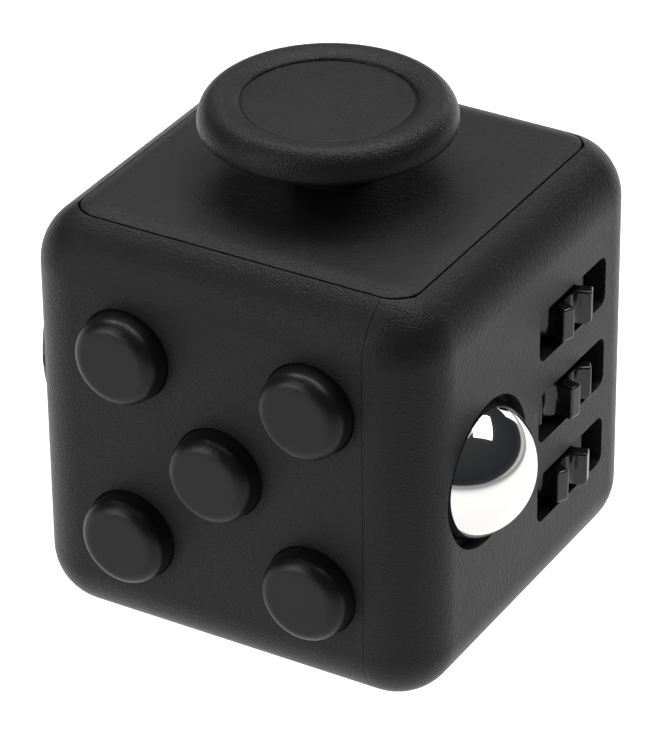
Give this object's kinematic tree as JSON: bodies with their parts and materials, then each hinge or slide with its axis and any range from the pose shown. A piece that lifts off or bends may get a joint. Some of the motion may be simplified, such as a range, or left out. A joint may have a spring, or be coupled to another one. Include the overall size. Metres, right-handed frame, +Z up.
{
  "type": "fidget cube",
  "caption": "Pocket desk toy: a rounded cube with push buttons, a clicking ball and toothed wheels, a joystick, a rocker switch, a dial and a thumb dish on its sides.",
  "frame": {"origin": "middle of the case's underside, on the table that the toy stands on", "axes": "+Z up through the joystick, -Y out of the front with the buttons, +X out of the side with the ball and the wheels"},
  "size_m": [0.0396, 0.0368, 0.039],
  "materials": {
    "case_plastic": "matt black, fine spark-eroded grain",
    "button_plastic": "satin black, finer grain",
    "cap_plastic": "matt black, fine grain",
    "wheel_plastic": "semi-gloss black, as moulded",
    "ball_steel": "polished bearing steel",
    "inner_plastic": "natural white acetal",
    "spring_steel": "bright spring steel",
    "screw_steel": "zinc plated steel",
    "dome_rubber": "translucent silicone rubber"
  },
  "bodies": {
    "case": {"main_shell": "case_plastic", "roll_panel": "case_plastic", "glide_plate": "case_plastic", "spin_plate": "case_plastic", "breathe_plate": "case_plastic", "button_backplate": "inner_plastic", "button_screws": "screw_steel", "dome_centre": "spring_steel", "dome_upper_left": "spring_steel", "dome_upper_right": "dome_rubber", "dome_lower_left": "dome_rubber", "dome_lower_right": "spring_steel", "cradle_dome": "spring_steel", "ball_housing": "inner_plastic", "ball_housing_screws": "screw_steel", "wheel_axle": "screw_steel", "stick_housing": "inner_plastic", "stick_spring": "spring_steel", "stick_housing_screws": "screw_steel", "rocker_pin": "screw_steel", "rocker_spring": "spring_steel", "rocker_backplate": "inner_plastic", "rocker_screws": "screw_steel"},
    "button_centre": {"button_centre": "button_plastic"},
    "button_upper_left": {"button_upper_left": "button_plastic"},
    "button_upper_right": {"button_upper_right": "button_plastic"},
    "button_lower_left": {"button_lower_left": "button_plastic"},
    "button_lower_right": {"button_lower_right": "button_plastic"},
    "cradle": {"ball_cradle": "inner_plastic"},
    "ball": {"steel_ball": "ball_steel"},
    "wheel_upper": {"wheel_upper": "wheel_plastic"},
    "wheel_middle": {"wheel_middle": "wheel_plastic"},
    "wheel_lower": {"wheel_lower": "wheel_plastic"},
    "gimbal": {"gimbal_ring": "inner_plastic"},
    "joystick": {"stick": "wheel_plastic", "thumb_cap": "cap_plastic"},
    "rocker": {"rocker": "button_plastic"},
    "dial": {"dial": "button_plastic", "dial_retainer": "inner_plastic", "dial_screw": "screw_steel"}
  },
  "joints": [
    {"name": "press_centre", "type": "slide", "parent": "case", "child": "button_centre", "axis": [0, 1, 0], "range_m": [0, 0.0006], "stiffness_N_per_m": 2500, "deforming": ["dome_centre"]},
    {"name": "press_upper_left", "type": "slide", "parent": "case", "child": "button_upper_left", "axis": [0, 1, 0], "range_m": [0, 0.0006], "stiffness_N_per_m": 2500, "deforming": ["dome_upper_left"]},
    {"name": "press_upper_right", "type": "slide", "parent": "case", "child": "button_upper_right", "axis": [0, 1, 0], "range_m": [0, 0.0012], "stiffness_N_per_m": 1000, "deforming": ["dome_upper_right"]},
    {"name": "press_lower_left", "type": "slide", "parent": "case", "child": "button_lower_left", "axis": [0, 1, 0], "range_m": [0, 0.0012], "stiffness_N_per_m": 1000, "deforming": ["dome_lower_left"]},
    {"name": "press_lower_right", "type": "slide", "parent": "case", "child": "button_lower_right", "axis": [0, 1, 0], "range_m": [0, 0.0006], "stiffness_N_per_m": 2500, "deforming": ["dome_lower_right"]},
    {"name": "press_ball", "type": "slide", "parent": "case", "child": "cradle", "axis": [-1, 0, 0], "range_m": [0, 0.0006], "stiffness_N_per_m": 4000, "deforming": ["cradle_dome"]},
    {"name": "roll_ball", "type": "hinge", "parent": "cradle", "child": "ball", "pos_m": [0.01445, -0.0071, 0.0165], "axis": [0, 1, 0], "continuous": true},
    {"name": "turn_wheel_upper", "type": "hinge", "parent": "case", "child": "wheel_upper", "pos_m": [0.01315, 0.0056, 0.02305], "axis": [0, 0, 1], "continuous": true},
    {"name": "turn_wheel_middle", "type": "hinge", "parent": "case", "child": "wheel_middle", "pos_m": [0.01315, 0.0056, 0.01625], "axis": [0, 0, 1], "continuous": true},
    {"name": "turn_wheel_lower", "type": "hinge", "parent": "case", "child": "wheel_lower", "pos_m": [0.01315, 0.0056, 0.00945], "axis": [0, 0, 1], "continuous": true},
    {"name": "tilt_sideways", "type": "hinge", "parent": "case", "child": "gimbal", "pos_m": [0, 0, 0.03], "axis": [0, 1, 0], "range_deg": [-12, 12], "stiffness_Nm_per_rad": 0.012, "deforming": ["stick_spring"]},
    {"name": "tilt_forwards", "type": "hinge", "parent": "gimbal", "child": "joystick", "pos_m": [0, 0, 0.03], "axis": [1, 0, 0], "range_deg": [-12, 12], "stiffness_Nm_per_rad": 0.012, "deforming": ["stick_spring"]},
    {"name": "flip_rocker", "type": "hinge", "parent": "case", "child": "rocker", "pos_m": [0, 0.0142, 0.0165], "axis": [1, 0, 0], "range_deg": [0, 20], "deforming": ["rocker_spring"]},
    {"name": "turn_dial", "type": "hinge", "parent": "case", "child": "dial", "pos_m": [-0.0165, 0, 0.0165], "axis": [-1, 0, 0], "continuous": true}
  ]
}
